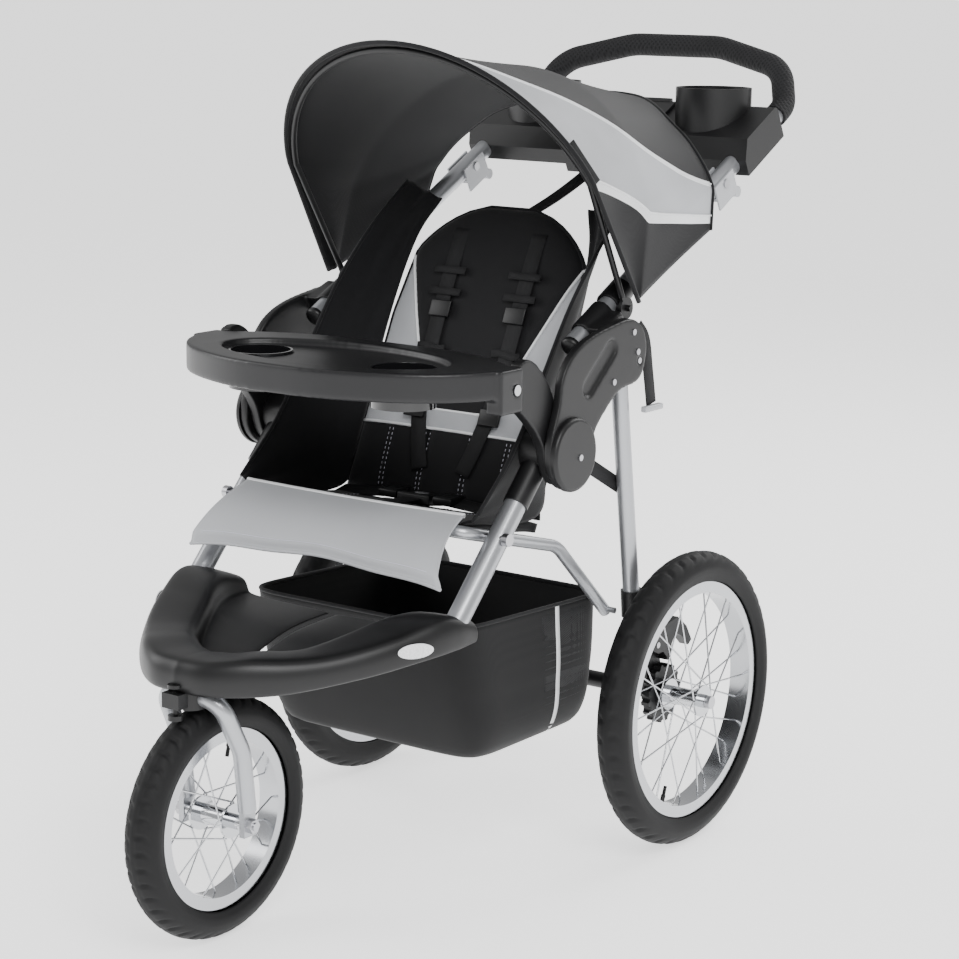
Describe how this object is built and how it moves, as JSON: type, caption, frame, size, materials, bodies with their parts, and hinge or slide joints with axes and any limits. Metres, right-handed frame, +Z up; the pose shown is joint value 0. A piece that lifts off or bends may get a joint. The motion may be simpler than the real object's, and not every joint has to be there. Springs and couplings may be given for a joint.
{
  "type": "jogging stroller",
  "caption": "Folding jogging stroller with large spoked rear wheels, a swivelling front wheel, canopy, padded seat, child and parent trays and a storage basket.",
  "frame": {"origin": "on the ground under the middle of the stroller's overall box", "axes": "+Z up, -Y towards the front wheel, +X towards the stroller's side that the front view shows on the viewer's right"},
  "size_m": [0.6148, 1.1659, 1.0523],
  "materials": {
    "tyre": "matte black rubber",
    "rim": "polished",
    "spoke": "bright",
    "hub": "polished",
    "steel": "zinc plated",
    "frame_paint": "satin silver grey paint",
    "black_plastic": "matte moulded",
    "tray_plastic": "charcoal moulded",
    "gloss_plastic": "gloss black",
    "grip": "woven foam sleeve",
    "reflector": "clear white prism",
    "chrome_button": "bright",
    "latch_plastic": "light grey",
    "bow": "black rod",
    "canopy_cloth": "woven polyester",
    "seat_cloth": "woven polyester",
    "grey_cloth": "light grey satin cloth",
    "basket_cloth": "woven polyester and mesh",
    "webbing": "woven webbing",
    "button_plastic": "grey plastic"
  },
  "bodies": {
    "front_frame": {"front_tubes": "frame_paint", "head_tube": "frame_paint", "front_sockets": "black_plastic", "tray_arms": "black_plastic", "footrest_shell": "black_plastic", "reflectors": "reflector", "front_pivot_bolts": "steel", "leg_limit_straps": "webbing"},
    "fork": {"fork_tube": "frame_paint", "fork_crown": "black_plastic", "front_axle": "steel"},
    "swivel_lock": {"swivel_lock_knob": "black_plastic"},
    "front_wheel": {"front_tyre": "tyre", "front_rim": "rim", "front_hub": "hub", "front_spokes": "spoke"},
    "upper_frame": {"side_plates": "black_plastic", "hinge_caps": "black_plastic", "upper_pivot_bolts": "steel", "handlebar": "frame_paint", "handle_grip": "grip", "parent_tray": "black_plastic", "canopy_clamps": "black_plastic", "canopy_cover": "canopy_cloth", "fold_lock_strap": "webbing"},
    "tray_lid": {"parent_tray_lid": "black_plastic"},
    "fold_latch_r": {"fold_latch_right": "latch_plastic"},
    "fold_latch_l": {"fold_latch_left": "latch_plastic"},
    "canopy_front": {"canopy_front_bow": "bow"},
    "canopy_mid": {"canopy_mid_bow": "bow"},
    "rear_frame": {"rear_legs": "frame_paint", "rear_axle_beam": "black_plastic", "rear_axle": "steel"},
    "rear_wheel_r": {"right_rear_tyre": "tyre", "right_rear_rim": "rim", "right_rear_hub": "hub", "right_rear_spokes": "spoke", "right_brake_drum": "black_plastic"},
    "rear_wheel_l": {"left_rear_tyre": "tyre", "left_rear_rim": "rim", "left_rear_hub": "hub", "left_rear_spokes": "spoke", "left_brake_drum": "black_plastic"},
    "brake_r": {"brake_pedal_right": "black_plastic"},
    "brake_l": {"brake_pedal_left": "black_plastic"},
    "seat_link": {"seat_link_tube": "frame_paint", "seat_base": "seat_cloth", "calf_flap": "grey_cloth", "storage_basket": "basket_cloth", "harness_buckle": "black_plastic", "lap_straps": "webbing", "seat_wings": "seat_cloth"},
    "buckle_push": {"buckle_button": "button_plastic"},
    "seat_rest": {"seat_back": "seat_cloth", "shoulder_straps": "webbing", "recline_strap": "webbing"},
    "front_tray": {"child_tray": "tray_plastic", "tray_cups": "gloss_plastic"},
    "tray_push_r": {"tray_button_right": "chrome_button"},
    "tray_push_l": {"tray_button_left": "chrome_button"}
  },
  "joints": [
    {"name": "fold", "type": "hinge", "parent": "front_frame", "child": "upper_frame", "pos_m": [0, -0.061, 0.562], "axis": [1, 0, 0], "range_deg": [0, 50], "deforming": ["seat_wings", "leg_limit_straps", "fold_lock_strap", "storage_basket", "calf_flap", "seat_base", "lap_straps"]},
    {"name": "rear_leg_fold", "type": "hinge", "parent": "upper_frame", "child": "rear_frame", "pos_m": [0, 0.091, 0.66], "axis": [1, 0, 0], "range_deg": [-20, 0]},
    {"name": "link_fold", "type": "hinge", "parent": "front_frame", "child": "seat_link", "pos_m": [0, -0.159, 0.469], "axis": [1, 0, 0], "range_deg": [0, 27]},
    {"name": "seat_recline", "type": "hinge", "parent": "seat_link", "child": "seat_rest", "pos_m": [0, 0.007, 0.452], "axis": [-1, 0, 0], "range_deg": [0, 30], "deforming": ["seat_back", "shoulder_straps", "recline_strap"]},
    {"name": "canopy_fold", "type": "hinge", "parent": "upper_frame", "child": "canopy_front", "pos_m": [0, 0.089, 0.725], "axis": [-1, 0, 0], "range_deg": [0, 70], "deforming": ["canopy_cover"]},
    {"name": "canopy_mid_fold", "type": "hinge", "parent": "upper_frame", "child": "canopy_mid", "pos_m": [0, 0.089, 0.725], "axis": [-1, 0, 0], "range_deg": [0, 35]},
    {"name": "lid_open", "type": "hinge", "parent": "upper_frame", "child": "tray_lid", "pos_m": [0, 0.44853, 0.96481], "axis": [-1, 0, 0], "range_deg": [0, 105]},
    {"name": "fold_latch_pull_r", "type": "hinge", "parent": "upper_frame", "child": "fold_latch_r", "pos_m": [0.205, 0.339, 0.86535], "axis": [1, 0, 0], "range_deg": [0, 12], "stiffness_Nm_per_rad": 1, "springref_deg": -11.46},
    {"name": "fold_latch_pull_l", "type": "hinge", "parent": "upper_frame", "child": "fold_latch_l", "pos_m": [-0.205, 0.339, 0.86535], "axis": [1, 0, 0], "range_deg": [0, 12], "stiffness_Nm_per_rad": 1, "springref_deg": -11.46},
    {"name": "front_swivel", "type": "hinge", "parent": "front_frame", "child": "fork", "pos_m": [0, -0.48, 0.335], "axis": [0, 0, 1], "continuous": true},
    {"name": "swivel_lock_lift", "type": "slide", "parent": "fork", "child": "swivel_lock", "axis": [0, 0, 1], "range_m": [0, 0.008]},
    {"name": "front_wheel_spin", "type": "hinge", "parent": "fork", "child": "front_wheel", "pos_m": [0, -0.435, 0.148], "axis": [1, 0, 0], "continuous": true},
    {"name": "rear_wheel_spin_r", "type": "hinge", "parent": "rear_frame", "child": "rear_wheel_r", "pos_m": [0.267, 0.197, 0.197], "axis": [1, 0, 0], "continuous": true},
    {"name": "rear_wheel_spin_l", "type": "hinge", "parent": "rear_frame", "child": "rear_wheel_l", "pos_m": [-0.267, 0.197, 0.197], "axis": [1, 0, 0], "continuous": true},
    {"name": "brake_press_r", "type": "hinge", "parent": "rear_frame", "child": "brake_r", "pos_m": [0.228, 0.175, 0.268], "axis": [-1, 0, 0], "range_deg": [0, 14]},
    {"name": "brake_press_l", "type": "hinge", "parent": "rear_frame", "child": "brake_l", "pos_m": [-0.228, 0.175, 0.268], "axis": [-1, 0, 0], "range_deg": [0, 14]},
    {"name": "buckle_press", "type": "slide", "parent": "seat_link", "child": "buckle_push", "axis": [0, -0.164, -0.9865], "range_m": [0, 0.002], "stiffness_N_per_m": 400, "springref_m": -0.002},
    {"name": "child_tray_pull", "type": "slide", "parent": "front_frame", "child": "front_tray", "axis": [0, -1, 0], "range_m": [0, 0.045]},
    {"name": "tray_button_press_r", "type": "slide", "parent": "front_tray", "child": "tray_push_r", "axis": [-1, 0, 0], "range_m": [0, 0.003], "stiffness_N_per_m": 400, "springref_m": -0.002},
    {"name": "tray_button_press_l", "type": "slide", "parent": "front_tray", "child": "tray_push_l", "axis": [1, 0, 0], "range_m": [0, 0.003], "stiffness_N_per_m": 400, "springref_m": -0.002}
  ],
  "couplings": [
    {"joint": "rear_leg_fold", "follows": "fold", "ratio": -0.396},
    {"joint": "link_fold", "follows": "fold", "ratio": 0.535},
    {"joint": "canopy_mid_fold", "follows": "canopy_fold", "ratio": 0.5}
  ]
}
